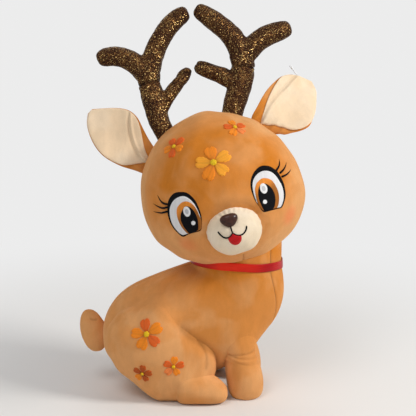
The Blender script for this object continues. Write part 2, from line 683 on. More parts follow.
def neck_radius(angle, level):
    """The cloth's distance from the neck's axis at each angle and level: the mean of the body's
    points near there, weighted by a bell 4 mm wide round the neck and 2.2 mm wide up it."""
    cloud = rings(BODY, np.linspace(0, 2 * math.pi, 720)).reshape(-1, 3)
    cloud = cloud[np.abs(cloud[:, 2] - 0.160) < 0.020]
    cloud_angle = np.arctan2(cloud[:, 1], cloud[:, 0] - NECK_X)
    cloud_radius = np.hypot(cloud[:, 1], cloud[:, 0] - NECK_X)
    radius = np.zeros(level.shape)
    for row in range(len(level)):
        turned = (cloud_angle - angle[row] + math.pi) % (2 * math.pi) - math.pi
        gap = (turned * NECK_RADIUS / 0.004) ** 2
        gap = gap + ((cloud[:, 2] - level[row][:, None]) / 0.0022) ** 2
        weight = np.exp(-gap) + 1e-12
        radius[row] = (weight * cloud_radius).sum(1) / weight.sum(1)
    return radius


def satin(name, colour, deep):
    """Satin: fine threads round the band, from deep red to the orange red of its shine."""
    material, tree, shader = new_material(name, {"Anisotropic": 0.6, "Specular IOR Level": 0.15})
    drawn_out = {"Vector": own_place(tree), "Scale": (0.25, 0.25, 14.0)}
    threads = noise(tree, node(tree, "Mapping", drawn_out).outputs[0], 160.0, 3.0, 0.6)
    glow = ramp(tree, threads, 0.3, 0.7, -0.08, 0.08)
    shine = math_node(tree, "ADD", kept_share(tree, "tone"), glow, clamp=True)
    tree.links.new(mixed(tree, shine, deep, colour), shader.inputs["Base Color"])
    bumped(tree, shader, threads, 0.2, 0.0002)
    tree.links.new(ramp(tree, threads, 0.3, 0.7, 0.26, 0.42), shader.inputs["Roughness"])
    return material


share = np.linspace(0, 1, 241)[:, None]
angle = math.radians(RIBBON_START) + share * math.radians(RIBBON_TURN)
lap = LAP_RISE * smooth_share(share, 0.80, 0.90)
across = np.linspace(0, 1, 9)[None, :]
sway = 0.00035 * np.sin(3 * angle + 1.0) + 0.0002 * np.sin(7 * angle)
tilt = -0.0036 - 0.0056 * np.sin(angle) - 0.0030 * np.cos(angle)
level = RIBBON_LOW + RIBBON_WIDTH * across + sway + tilt
radius = neck_radius(angle, level) + 0.0008 + lap + 0.00035 * np.sin(across * math.pi)
points = np.stack([NECK_X + radius * np.cos(angle), radius * np.sin(angle), level], -1)
turned = (angle + 1.80 + math.pi) % (2 * math.pi) - math.pi
shine = 0.10 + 0.85 * bell(turned, 0.48) + 0.10 * np.sin(9 * angle) + 0 * across
ribbon = sewn_mesh("ribbon_band", points, False, (NECK_X, 0, 0.165), tone=np.clip(shine, 0, 1))
finish_with(ribbon, "SOLIDIFY", thickness=RIBBON_THICK, offset=1)
ribbon.data.materials.append(satin("red_satin", BRIGHT_RED, DEEP_RED))
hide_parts("neck_ribbon")
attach(ribbon, "torso")

# Head: a ball of the caramel velvet over firm filling, fuller at the cheeks, sewn to the neck. It
# leans to one side and looks up. A short dart is sewn under the chin, the cloth sinks where the
# muzzle is stitched on, and both cheeks have a rosy blush brushed in.
HEAD_WIDTH, HEAD_DEPTH, HEAD_HEIGHT = 0.1975, 0.172, 0.1855
HEAD_UP = 0.545 * HEAD_HEIGHT
HEAD_DOWN = 0.455 * HEAD_HEIGHT
HEAD_PLACE = np.array([0.0726, -0.012, 0.2445])
tip, roll = math.radians(-13), math.radians(-16)
TIPPED = [[1, 0, 0], [0, math.cos(tip), -math.sin(tip)], [0, math.sin(tip), math.cos(tip)]]
LEANED = [[math.cos(roll), 0, math.sin(roll)], [0, 1, 0], [-math.sin(roll), 0, math.cos(roll)]]
HEAD_TURN = np.array(TIPPED) @ np.array(LEANED)
LATITUDES = np.array((-0.91, -0.67, -0.44, -0.22, 0, 0.22, 0.44, 0.67, 0.91)) * math.pi / 2


def from_head(points):
    """Points of the head's own frame, turned and moved to where the head is."""
    return np.asarray(points, float) @ HEAD_TURN.T + HEAD_PLACE


def head_form():
    """Level rings at even latitudes, up in shares of a quarter turn, fuller below the middle."""
    height = np.where(LATITUDES > 0, HEAD_UP, HEAD_DOWN) * np.sin(LATITUDES)
    down = np.clip(-height / HEAD_DOWN, 0, 1)
    wide = np.cos(LATITUDES) * (1 + 0.02 * np.sin(math.pi * down)) * HEAD_WIDTH / 2
    deep = np.cos(LATITUDES) * HEAD_DEPTH / 2
    return stuffed_form(ring_rows(0, 0, height, wide, 0, 0, 0, deep, 0), 240)


HEAD = head_form()


def face_depth(across, up):
    """How far forward the face's surface lies at a place across and up in the head's frame."""
    order = np.argsort(HEAD[:, 2])
    wide = np.interp(up, HEAD[order, 2], HEAD[order, 3])
    deep = np.interp(up, HEAD[order, 2], HEAD[order, 7])
    return -deep * np.sqrt(np.clip(1 - (across / np.maximum(wide, 1e-6)) ** 2, 0, 1))


MUZZLE_WIDTH, MUZZLE_DEPTH, MUZZLE_HEIGHT = 0.063, 0.056, 0.0565
MUZZLE_X, MUZZLE_Y, MUZZLE_Z = 0.0005, -0.068, -0.0405
# Rings up the muzzle: height, half width and half depth, and how far forward, all in shares.
MUZZLE_SHARES = (
    (-0.50, 0.16, 0.14, 0.00),
    (-0.42, 0.34, 0.30, 0.01),
    (-0.18, 0.49, 0.47, 0.02),
    (0.08, 0.51, 0.50, 0.00),
    (0.32, 0.40, 0.40, -0.02),
    (0.46, 0.22, 0.22, -0.04),
    (0.51, 0.09, 0.09, -0.05),
)
up, half, deep, forward = np.array(MUZZLE_SHARES).T
centre = (MUZZLE_X, MUZZLE_Y - forward * MUZZLE_DEPTH, MUZZLE_Z + up * MUZZLE_HEIGHT)
axes = (half * MUZZLE_WIDTH, 0, 0, 0, deep * MUZZLE_DEPTH, 0)
MUZZLE = stuffed_form(ring_rows(*centre, *axes), 130)


def head_skin():
    """The head's rings, close together at the face, in the head's frame, with the cloth drawn in
    round the muzzle and puffed past it, the dart under the chin and soft unevenness; also the
    tone of its folds."""
    turns = ring_turns(360)
    points = rings(HEAD, turns - 0.55 * np.cos(turns))
    round_face = np.arctan2(points[..., 2], points[..., 0])
    points[..., [0, 2]] *= (1 - 0.024 * np.sin(2 * round_face + 0.38))[..., None]
    out = outward(points, np.zeros(3))
    away = reach(MUZZLE, points)
    forward = points[..., 1] < -0.02
    swell = np.where(forward, 0.0012 * bell(away - 0.011, 0.006), 0)
    sunk = np.where(forward, 0.0016 * bell(away, 0.0045), 0)
    dart_line = ((0.0032, -0.0715), (0.0026, -0.0755), (0.0019, -0.0795))
    dart = crease(points, dart_line, 0.0011) * forward
    soft = 0.0006 * np.sin(points[..., 0] * 95 + 1.3) * np.sin(points[..., 2] * 80 + 0.4)
    soft = soft + 0.0004 * np.sin(points[..., 0] * 170 - points[..., 2] * 120)
    points = points + out * (swell - sunk - 0.0010 * dart + soft * (away > 0.004))[..., None]
    return points, 1 - 0.30 * dart - 0.10 * np.where(forward, bell(away, 0.0022), 0)


points, tone = head_skin()
outer = np.hypot(points[..., 0], points[..., 2])
pale = 0.65 * smooth_share(-points[..., 2], 0.000, 0.045) + 0.55 * smooth_share(outer, 0.066, 0.094)
head = sewn_mesh("head_cloth", from_head(points), True, HEAD_PLACE, tone=tone, brushed=pale)
# Each cheek's blush: its middle across and up in the head's frame, and its strength.
BLUSHES = ((0.0663, -0.0437, 0.55), (-0.0553, -0.0441, 0.35))
BLUSH_COLOUR, BLUSH_CORE, BLUSH_EDGE = (0.780, 0.190, 0.070, 1), 0.003, 0.017


def head_velvet():
    """The caramel velvet with a rosy blush on both cheeks, two soft round spots in the head's
    own frame."""
    material = velvet("head_velvet", (0.600, 0.195, 0.022, 1), BRUSHED_CARAMEL, 20.0, 0.55)
    tree = material.node_tree
    shader = tree.nodes["Principled BSDF"]
    base = shader.inputs["Base Color"].links[0].from_socket
    place = own_place(tree)
    near = []
    for across, up, strength in BLUSHES:
        spot = from_head((across, face_depth(across, up), up))
        gap = node(tree, "VectorMath", {0: place, 1: tuple(spot)}, operation="DISTANCE")
        near.append(ramp(tree, gap.outputs["Value"], BLUSH_CORE, BLUSH_EDGE, strength, 0.0))
    rosy = mixed(tree, math_node(tree, "MAXIMUM", *near), base, BLUSH_COLOUR)
    tree.links.new(rosy, shader.inputs["Base Color"])
    return material


head.data.materials.append(head_velvet())
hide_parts("head_skin", "head_stuffing")
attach(head, "head")

# Muzzle: a padded oval of cream velvet on the front of the head. It is stuffed on its own and
# stitched on all round, which gathers its edge a little.
points = rings(MUZZLE, ring_turns(220))
inside = np.array([MUZZLE_X, MUZZLE_Y, MUZZLE_Z - 0.001])
out = outward(points, inside)
gap = -face_depth(points[..., 0], points[..., 2]) + points[..., 1]
turn = np.arctan2(points[..., 2] - inside[2], points[..., 0] - inside[0])
gather = np.sin(turn * 26) * bell(gap + 0.002, 0.0045)
soft = 0.00035 * np.sin(points[..., 0] * 240 + 0.7) * np.sin(points[..., 2] * 210)
points = points + out * (0.00030 * gather + soft)[..., None]
CREAM, BRUSHED_CREAM = (0.800, 0.660, 0.480, 1), (0.870, 0.760, 0.610, 1)
cream_velvet = velvet("cream_velvet", CREAM, BRUSHED_CREAM, 30.0, 0.6, 0.25, (1, 0.97, 0.92, 1))
muzzle = sewn_mesh("muzzle_pad", from_head(points), True, from_head(inside))
muzzle.data.materials.append(cream_velvet)
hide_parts("muzzle")
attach(muzzle, "head")

# Nose: a small padded triangle of smooth brown cloth, point down, sewn on the muzzle's top. The
# cloth is a close weave with a slight gloss.
NOSE_WIDTH, NOSE_DEPTH, NOSE_HEIGHT = 0.0195, 0.0138, 0.0146
NOSE_PLACE = np.array([-0.0025, -0.0942, -0.0294])
DARK_NOSE, PALE_NOSE = (0.030, 0.008, 0.004, 1), (0.056, 0.016, 0.008, 1)
up, half, deep = np.array(
    (
        (-0.52, 0.10, 0.14),
        (-0.40, 0.28, 0.32),
        (-0.10, 0.48, 0.48),
        (0.16, 0.54, 0.50),
        (0.36, 0.48, 0.44),
        (0.50, 0.26, 0.26),
    )
).T
centre = (NOSE_PLACE[0], NOSE_PLACE[1], NOSE_PLACE[2] + up * NOSE_HEIGHT)
rows = ring_rows(*centre, half * NOSE_WIDTH, 0, 0, 0, deep * NOSE_DEPTH, 0)
points = from_head(rings(stuffed_form(rows, 60), ring_turns(90)))
nose = sewn_mesh("nose_pad", points, True, from_head(NOSE_PLACE))
held = {"Roughness": 0.30, "Specular IOR Level": 0.28}
brown_cloth, tree, shader = new_material("brown_nose_cloth", held)
place = own_place(tree)
share = ramp(tree, noise(tree, place, 260.0, 3.0, 0.6), 0.35, 0.65)
tree.links.new(mixed(tree, share, DARK_NOSE, PALE_NOSE), shader.inputs["Base Color"])
bumped(tree, shader, noise(tree, place, 1900.0, 1.0, 0.5), 0.25, 0.0002)
nose.data.materials.append(brown_cloth)
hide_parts("nose")
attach(nose, "head")

# Mouth: one line of corded black thread, down from the nose and out in two curls, stitched down on
# the muzzle. The thread is dull polyester, bedded a little in the cream pile.
FACING = HEAD_TURN @ np.array([0.0, -1.0, 0.0])
MUZZLE_FRONT = -0.0975
MOUTH_CORD, THREAD_WIDTH = 0.00085, 0.00045
# Three strokes, in millimetres across and up in the head's frame.
MOUTH_LINES = (
    ((-2.8, -35.4), (-3.1, -39.3), (-2.9, -42.5), (-2.7, -44.2)),
    (
        (-2.7, -44.0), (-5.4, -46.3), (-8.2, -47.7), (-11.8, -47.2), (-14.8, -44.6), (-16.6, -41.5),
        (-18.0, -38.0),
    ),
    (
        (-2.7, -43.8), (-0.6, -46.5), (2.7, -48.3), (5.8, -48.7), (9.0, -47.6), (11.7, -45.6),
        (13.6, -42.8), (14.1, -40.3),
    ),
)


def laid_on(target, points, facing=None):
    """Points moved to the nearest places on a finished piece, by Blender's Shrinkwrap. With a
    facing direction only their depth changes: each round keeps the wanted place and takes the
    depth p + f * ((near - p) . f) of the nearest place, and seven rounds bring it close."""
    wanted = points.reshape(-1, 3)
    mesh = bpy.data.meshes.new("laid")
    mesh.from_pydata(wanted.tolist(), [], [])
    obj = bpy.data.objects.new("laid", mesh)
    bpy.context.scene.collection.objects.link(obj)
    for _ in range(1 if facing is None else 7):
        finish_with(obj, "SHRINKWRAP", target=target)
        near = mesh_points(obj.data)
        if facing is not None:
            near = wanted + ((near - wanted) @ facing)[:, None] * facing
            move_points(obj.data, near)
    bpy.data.objects.remove(obj)
    return near.reshape(points.shape)


def on_face(target, across, up, depth):
    """Places across and up in the head's frame, laid on a piece from in front. The depth is
    where that starts, one number or a function of the place."""
    forward = depth(across, up) if callable(depth) else depth + 0 * across
    return laid_on(target, from_head(np.stack([across, forward, up], -1)), FACING)


def thread_cord(target, path, count, depth, radius, stitch, fade=0.0):
    """A cord of thread laid along a path on a piece: rings of twelve points round the line,
    square to it, drawn to a point at both ends, bedded a third of the way into the cloth and
    thinned along its length by 1 - fade * share^1.4."""
    line = spline(path, count) / 1000
    spots = on_face(target, line[:, 0], line[:, 1], depth)
    ahead = np.gradient(spots, axis=0)
    ahead /= np.linalg.norm(ahead, axis=1)[:, None]
    beside = np.cross(ahead, FACING)
    beside /= np.linalg.norm(beside, axis=1)[:, None]
    upright = np.cross(beside, ahead)
    share = np.linspace(0, 1, count)
    ends = np.sqrt(np.clip(np.minimum(share, 1 - share) / 0.04, 0.0, 1))
    turn = ring_turns(12)[None, :, None]
    ring = beside[:, None] * np.cos(turn) + upright[:, None] * np.sin(turn)
    grid = (upright * radius * 0.35)[:, None] + ring * (radius * ends)[:, None, None]
    grid = spots[:, None] + grid * (1 - fade * share**1.4)[:, None, None]
    inside = grid.mean((0, 1))
    return sewn_mesh("cord", grid, True, inside, stitch=np.linspace(0, stitch, count)[:, None])


def joined(name, pieces):
    """Several meshes made one object."""
    with bpy.context.temp_override(active_object=pieces[0], selected_editable_objects=pieces):
        bpy.ops.object.join()
    pieces[0].name = pieces[0].data.name = name
    return pieces[0]


def embroidery_group():
    """Rows of thread side by side: the stitch attribute counts metres across the threads, each
    0.45 mm thread has its own tone, and its round back and the twist along it give the height."""
    sockets = {"Colour": "Color", "Rows": "Float"}
    group, given, made = new_group("embroidery", sockets, {"Colour": "Color", "Height": "Float"})
    waver = noise(group, own_place(group), 420.0, 2.0, 0.5)
    count = math_node(group, "DIVIDE", kept_share(group, "stitch"), THREAD_WIDTH)
    count = math_node(group, "ADD", count, math_node(group, "MULTIPLY", waver, 0.8))
    back = math_node(group, "SINE", math_node(group, "MULTIPLY", count, math.pi))
    back = math_node(group, "ABSOLUTE", back)
    thread_number = math_node(group, "FLOOR", count)
    own = node(group, "TexWhiteNoise", {"W": thread_number}, noise_dimensions="1D")
    shade = ramp(group, own.outputs["Value"], 0.0, 1.0, -0.12, 0.10)
    shade = math_node(group, "ADD", shade, ramp(group, back, 0.0, 0.6, -0.26, 0.0))
    shade = math_node(group, "ADD", math_node(group, "MULTIPLY", shade, given["Rows"]), 1.0)
    shade = math_node(group, "MULTIPLY", shade, kept_share(group, "tone"))
    group.links.new(scaled(group, given["Colour"], shade), made["Colour"])
    group.links.new(back, made["Height"])
    return group


EMBROIDERY = embroidery_group()


def thread(name, colour, rough=0.5, rows_seen=1.0, gloss=0.2):
    """Polyester embroidery thread in a colour, a little glossy along its rows."""
    held = {"Roughness": rough, "Specular IOR Level": gloss}
    material, tree, shader = new_material(name, held)
    rows = node(tree, "Group", node_tree=EMBROIDERY)
    rows.inputs["Colour"].default_value = (*colour, 1)
    rows.inputs["Rows"].default_value = rows_seen
    tree.links.new(rows.outputs["Colour"], shader.inputs["Base Color"])
    bumped(tree, shader, rows.outputs["Height"], 0.6, 0.0003)
    return material


BLACK_THREAD = thread("black_thread", (0.005, 0.005, 0.006), 0.6, 0.6, 0.06)
mouth = joined(
    "mouth_cord",
    [thread_cord(muzzle, line, 70, MUZZLE_FRONT, MOUTH_CORD, 0.02) for line in MOUTH_LINES],
)
mouth.data.materials.append(BLACK_THREAD)
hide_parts("mouth")
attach(mouth, "head")

# Tongue: a rounded drop in red satin stitch, hung under the mouth's middle. Its rows run a little
# aslant, and its rim is drawn down into the muzzle's pile.
# The drop's edge and middle, in millimetres across and up in the head's frame.
TONGUE_EDGE = (
    (-9.2, -48.0), (-9.2, -51.1), (-7.6, -54.8), (-4.2, -57.4), (-0.3, -57.8), (3.1, -55.9),
    (5.2, -52.8), (5.6, -49.4), (2.7, -47.9), (-0.4, -46.2), (-2.6, -44.2), (-4.4, -45.3),
    (-6.8, -47.0),
)
TONGUE_MIDDLE = (-2.2, -50.8)


def closed_curve(points, count):
    """A smooth closed line through points: a Catmull-Rom curve, whose weights on four following
    points are (-t+2t^2-t^3)/2, (2-5t^2+3t^3)/2, (t+4t^2-3t^3)/2 and (t^3-t^2)/2."""
    points = np.asarray(points, float)
    place = np.linspace(0, len(points), count, endpoint=False)
    k = place.astype(int)
    t = (place - k)[:, None]
    first, second, third, fourth = (points[(k + step) % len(points)] for step in (-1, 0, 1, 2))
    low = (-t + 2 * t**2 - t**3) * first + (2 - 5 * t**2 + 3 * t**3) * second
    return (low + (t + 4 * t**2 - 3 * t**3) * third + (t**3 - t**2) * fourth) / 2


def stitched_patch(target, outline, centre, depth, base, rise, angle, tone=1.0):
    """A patch of thread over an outline in the head's frame, in millimetres across and up: a fan
    of points from the centre out is laid on the target, then stands base above it, crowned by
    rise * sqrt(1 - share^6), with its rim drawn under the cloth. The stitch count runs square to
    the thread's angle."""
    share = np.linspace(0, 1, 26)[:, None]
    flat = np.asarray(centre) + share[..., None] * (outline[None] - np.asarray(centre))
    across, up = flat[..., 0] / 1000, flat[..., 1] / 1000
    height = base + rise * np.sqrt(np.clip(1 - share**6, 0, 1))
    height = np.where(share > 0.999, -0.0004, height) + 0 * across
    points = on_face(target, across, up, depth) + FACING * height[..., None]
    count = -across * math.sin(angle) + up * math.cos(angle)
    tone = tone(flat) if callable(tone) else tone
    inside = points.mean((0, 1)) - 0.02 * FACING
    return sewn_mesh("patch", points, True, inside, stitch=count, tone=tone)


edge = closed_curve(TONGUE_EDGE, 90)
tongue = stitched_patch(muzzle, edge, TONGUE_MIDDLE, MUZZLE_FRONT, 0.0002, 0.0012, 0.35)
tongue.name = tongue.data.name = "tongue_patch"
tongue.data.materials.append(thread("red_thread", (0.58, 0.006, 0.009), 0.42, 0.8))
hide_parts("tongue")
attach(tongue, "head")

# Eyes: flat embroidery straight on the head: a heavy black rim, a white crescent, a brown ring
# lit from above, a black pupil with two glints, and three lashes, each fill laid on the last.
LASH_CORD, LASH_FADE = 0.00125, 0.92
# Outlines run round the fill, in millimetres across and up in the head's frame; a glint and a
# spark have their middle and half sizes instead. The lashes' lines run from the rim outward.
EYE_FILLS = {
    "left": {
        "rim": (
            (-45.0, 16.1), (-39.8, 13.9), (-36.1, 9.8), (-33.4, 5.0), (-31.6, -0.2), (-30.7, -5.9),
            (-30.3, -10.9), (-30.2, -15.4), (-30.8, -19.6), (-31.8, -23.8), (-33.1, -27.9),
            (-34.7, -31.3), (-36.8, -32.6), (-40.8, -32.8), (-45.8, -32.7), (-50.8, -32.9),
            (-56.6, -34.1), (-59.8, -31.9), (-63.0, -26.6), (-65.8, -20.6), (-67.3, -13.6),
            (-67.5, -7.0), (-66.9, -1.8), (-65.6, 3.2), (-63.6, 8.0), (-60.9, 12.1), (-57.5, 14.9),
            (-53.8, 16.8), (-49.7, 17.1),
        ),
        "white": (
            (-44.1, 11.2), (-40.3, 8.9), (-37.3, 5.3), (-35.0, 1.1), (-33.4, -3.4), (-32.4, -8.8),
            (-31.8, -14.0), (-31.7, -17.6), (-32.4, -22.3), (-34.3, -28.0), (-36.8, -31.1),
            (-41.3, -31.4), (-45.4, -31.6), (-51.4, -32.0), (-56.5, -32.2), (-58.4, -31.0),
            (-60.5, -28.8), (-62.8, -24.4), (-64.7, -19.5), (-65.7, -14.3), (-65.6, -8.5),
            (-64.8, -3.3), (-63.4, 1.2), (-61.1, 5.0), (-57.6, 8.5), (-53.3, 10.8), (-48.5, 11.7),
        ),
        "ring": (
            (-42.1, 4.4), (-38.7, 2.2), (-36.1, -1.2), (-34.2, -5.3), (-33.1, -9.9), (-32.5, -14.3),
            (-32.0, -18.2), (-31.9, -21.5), (-32.8, -25.7), (-34.2, -29.4), (-36.0, -31.3),
            (-38.7, -31.7), (-43.3, -31.9), (-47.8, -32.0), (-51.5, -31.5), (-54.4, -27.0),
            (-56.4, -21.4), (-57.6, -15.2), (-57.7, -9.3), (-56.7, -3.8), (-54.9, 0.1),
            (-51.9, 2.8), (-47.8, 4.7), (-44.8, 5.0),
        ),
        "pupil": (
            (-43.2, -0.9), (-40.0, -3.2), (-38.0, -6.3), (-36.4, -10.3), (-35.5, -14.8),
            (-35.4, -19.2), (-36.1, -23.9), (-37.0, -27.7), (-38.4, -30.7), (-41.0, -31.7),
            (-45.5, -32.0), (-49.5, -31.8), (-51.3, -28.6), (-53.1, -24.1), (-54.3, -19.3),
            (-54.7, -15.1), (-53.9, -10.9), (-52.1, -6.9), (-49.6, -3.8), (-46.4, -1.4),
        ),
        "glint": ((-45.0, -7.3), (4.1, 6.0)),
        "spark": ((-41.5, -21.5), (2.5, 2.5)),
    },
    "right": {
        "rim": (
            (53.1, 19.0), (58.1, 16.9), (62.1, 13.4), (65.5, 9.2), (67.5, 3.2), (68.8, -2.5),
            (69.4, -7.6), (69.1, -13.0), (68.1, -19.1), (66.4, -23.6), (63.8, -27.8), (61.0, -31.4),
            (58.5, -33.2), (53.9, -32.9), (46.3, -32.7), (38.3, -32.3), (36.5, -30.8),
            (35.0, -28.1), (33.6, -24.1), (31.9, -19.3), (30.7, -14.5), (30.3, -9.0), (30.2, -3.7),
            (30.8, 1.0), (32.2, 5.5), (34.5, 9.7), (37.5, 13.4), (41.4, 16.6), (45.8, 18.9),
            (49.5, 19.5),
        ),
        "white": (
            (53.8, 12.8), (58.1, 10.4), (61.2, 7.0), (63.5, 2.4), (65.1, -2.5), (66.3, -7.3),
            (66.7, -12.3), (66.2, -17.6), (64.9, -22.2), (62.9, -26.5), (59.6, -31.0),
            (57.7, -32.1), (53.2, -31.6), (46.3, -30.7), (38.4, -30.1), (36.9, -28.4),
            (35.4, -24.6), (32.4, -19.6), (31.6, -13.8), (31.5, -7.9), (32.1, -2.3), (33.2, 2.3),
            (35.4, 6.5), (38.3, 9.6), (42.0, 12.0), (45.9, 13.4), (49.5, 13.7),
        ),
        "ring": (
            (48.6, 5.6), (53.1, 3.7), (56.3, 0.9), (58.3, -3.1), (59.5, -7.4), (60.3, -12.0),
            (60.2, -16.9), (59.4, -21.6), (57.8, -26.1), (55.9, -29.5), (53.8, -31.4),
            (50.2, -31.4), (44.3, -30.8), (38.3, -30.4), (35.5, -27.8), (33.7, -23.6),
            (32.9, -19.5), (32.9, -14.2), (33.3, -9.4), (34.1, -4.8), (36.1, -0.5), (38.7, 2.7),
            (42.9, 5.0), (45.7, 5.9),
        ),
        "pupil": (
            (45.3, -0.2), (48.8, -1.3), (51.7, -4.2), (53.8, -7.8), (55.1, -12.1), (55.4, -16.6),
            (54.8, -21.3), (53.2, -25.8), (51.7, -28.8), (49.9, -30.8), (46.5, -31.9),
            (42.1, -31.4), (38.7, -31.0), (37.2, -27.1), (36.2, -21.9), (35.7, -16.4),
            (36.2, -11.2), (37.5, -6.7), (39.6, -2.9), (42.2, -0.7),
        ),
        "glint": ((44.5, -6.1), (4.3, 6.1)),
        "spark": ((41.8, -20.8), (2.5, 2.5)),
    },
}
LASHES = {
    "left": (
        (
            (-63.2, 6.5), (-66.1, 7.6), (-68.8, 9.5), (-70.1, 11.8), (-71.0, 13.8), (-71.9, 17.9),
            (-72.2, 20.2),
        ),
        (
            (-64.1, 3.6), (-68.5, 3.6), (-70.9, 4.1), (-73.4, 5.6), (-76.0, 8.0), (-78.2, 10.1),
            (-80.1, 12.4),
        ),
        ((-65.5, -1.2), (-69.9, -0.9), (-72.9, -1.0), (-75.6, -0.0), (-79.2, 1.7), (-82.5, 3.6)),
    ),
    "right": (
        ((63.9, 9.1), (67.9, 12.0), (70.6, 15.4), (71.3, 18.2), (71.9, 21.5)),
        ((67.1, 5.3), (71.6, 7.1), (75.1, 9.7), (77.8, 12.6), (79.6, 15.9)),
        ((68.0, 1.1), (73.0, 1.3), (77.2, 2.7), (80.0, 4.5), (82.4, 6.7)),
    ),
}
WHITE_THREAD = thread("white_thread", (0.80, 0.79, 0.80), 0.5, 0.35)
BROWN_THREAD = thread("brown_thread", (0.50, 0.165, 0.020), 0.45, 0.7)
PUPIL_THREAD = thread("pupil_thread", (0.004, 0.004, 0.006), 0.6, 0.6, 0.06)
GLINT_THREAD = thread("glint_thread", (0.86, 0.86, 0.87), 0.5, 0.2)
PALE_THREAD = thread("pale_thread", (0.56, 0.57, 0.60), 0.5, 0.3)
SPARK_THREAD = thread("spark_thread", (0.86, 0.86, 0.87), 0.5, 0.2)
# The fills in the order of stitching: outline, share of its size, thread, how high its edge
# stands, its crown, and the angle of its rows.
EYE_ORDER = (
    ("rim", 1.0, BLACK_THREAD, 0.0002, 0.0006, 0.0),
    ("white", 1.0, WHITE_THREAD, 0.0006, 0.0006, 1.35),
    ("ring", 1.0, BROWN_THREAD, 0.0010, 0.0006, 1.35),
    ("pupil", 1.0, PUPIL_THREAD, 0.0014, 0.0006, 0.2),
    ("glint", 1.0, GLINT_THREAD, 0.0018, 0.0006, 1.35),
    ("glint", 0.52, PALE_THREAD, 0.0021, 0.0005, 1.35),
    ("spark", 1.0, SPARK_THREAD, 0.0018, 0.0006, 1.35),
)


def eye_outline(given, size):
    """A smooth line round through the given points, or round the given oval."""
    if len(given) > 2:
        return closed_curve(given, 150)
    middle, half = np.array(given)
    turn = ring_turns(60)
    return middle + half * size * np.column_stack([np.cos(turn), np.sin(turn)])


def brown_light(middle):
    """The brown ring's tone: bright orange at its top, darker down its sides."""

    def tone(flat):
        """The tone at places across and up, in millimetres."""
        up = (flat[..., 1] - middle[1]) / 24
        across = (flat[..., 0] - middle[0]) / 18
        lit = 0.75 + 0.95 * smooth_share(up - 0.25 * across, 0.05, 0.60)
        return lit + 0.20 * smooth_share(-up, 0.5, 0.95)

    return tone


for label, fills in EYE_FILLS.items():
    parts = []
    for fill, size, finish, base, rise, angle in EYE_ORDER:
        outline = eye_outline(fills[fill], size)
        centre = outline.mean(0)
        tone = brown_light(centre) if fill == "ring" else 1.0
        parts.append(stitched_patch(head, outline, centre, face_depth, base, rise, angle, tone))
        parts[-1].data.materials.append(finish)
    for lash in LASHES[label]:
        parts.append(thread_cord(head, lash, 40, face_depth, LASH_CORD, 0.01, LASH_FADE))
        parts[-1].data.materials.append(BLACK_THREAD)
    eye = joined("eye_stitched_" + label, parts)
    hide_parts("eye_" + label)
    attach(eye, "head")

# Flowers: five petals of satin stitch round a knot, each petal narrow at its root and notched
# and fringed at its end. Three are on the head and three on the near thigh.
FLOWER_RADIUS = 0.0212
PETAL_COLOURS = {
    "light_orange": (0.940, 0.380, 0.030),
    "orange": (0.900, 0.260, 0.014),
    "deep_orange": (0.760, 0.125, 0.012),
    "rust": (0.500, 0.090, 0.008),
    "pink_orange": (0.880, 0.240, 0.060),
    "yellow": (0.830, 0.540, 0.014),
}
LIGHT, ORANGE, DEEP, RUST, PINK, YELLOW = (
    thread(name + "_thread", colour, 0.5, 0.7) for name, colour in PETAL_COLOURS.items()
)
# Each flower's place across and up, its size, its turn in degrees, and its petals' threads.
HEAD_FLOWERS = (
    ("middle", -0.0014, 0.0369, 1.0, 1.0, (ORANGE, LIGHT, LIGHT, ORANGE, LIGHT)),
    ("left", -0.0385, 0.0670, 0.66, -24.0, (DEEP, DEEP, ORANGE, DEEP, ORANGE)),
    ("right", 0.0340, 0.0702, 0.66, 8.0, (ORANGE, DEEP, PINK, ORANGE, DEEP)),
)
THIGH_FLOWERS = (
    ("upper", -0.0173, 0.0912, 0.93, -13.0, (DEEP, ORANGE, DEEP, ORANGE, ORANGE)),
    ("front", 0.0144, 0.0513, 0.60, 8.0, (ORANGE, DEEP, ORANGE, PINK, DEEP)),
    ("rear", -0.0232, 0.0405, 0.56, 8.0, (RUST, RUST, RUST, ORANGE, RUST)),
)
# Half sizes of the balls whose surface gives the direction that each flower faces.
HEAD_BALL, THIGH_BALL = np.array([0.0975, 0.086, 0.1011]), np.array([0.062, 0.031, 0.062])


def petal_grid(size, turn):
    """One petal on a plane: a strip from near the knot outward, whose half width grows with an
    S-curve and whose end is rounded at the sides and a little notched and fringed; also its
    height and the place across its stitches."""
    along = np.linspace(0, 1, 26)[:, None]
    across = np.linspace(-1, 1, 33)[None, :]
    end = 1.0 - 0.17 * across**4 - 0.09 * bell(across, 0.20)
    end = end + 0.022 * np.sin(across * 19 + turn)
    out_run = size * (0.12 + (end - 0.12) * along)
    full = smooth_share(along, -0.15, 0.72) * (1 - 0.10 * smooth_share(along, 0.80, 1.15))
    wide = size * (0.060 + 0.275 * full * (1 + 0.05 * np.sin(along * 24 + turn))) * across
    height = 0.0010 * np.sqrt(np.clip(1 - across**6, 0, 1))
    height = height * np.sqrt(np.clip(1 - (2 * along - 1) ** 8, 0, 1))
    rim = (np.abs(across) > 0.999) | (along > 0.999) | (along < 0.001)
    height = np.where(rim, -0.0004, height + 0.0002)
    level = out_run * math.sin(turn) + wide * math.cos(turn)
    upright = out_run * math.cos(turn) - wide * math.sin(turn)
    shade = 0.90 + 0.18 * along - 0.22 * bell(along, 0.18) + 0 * across
    return level, upright, height, wide + 0 * along, shade


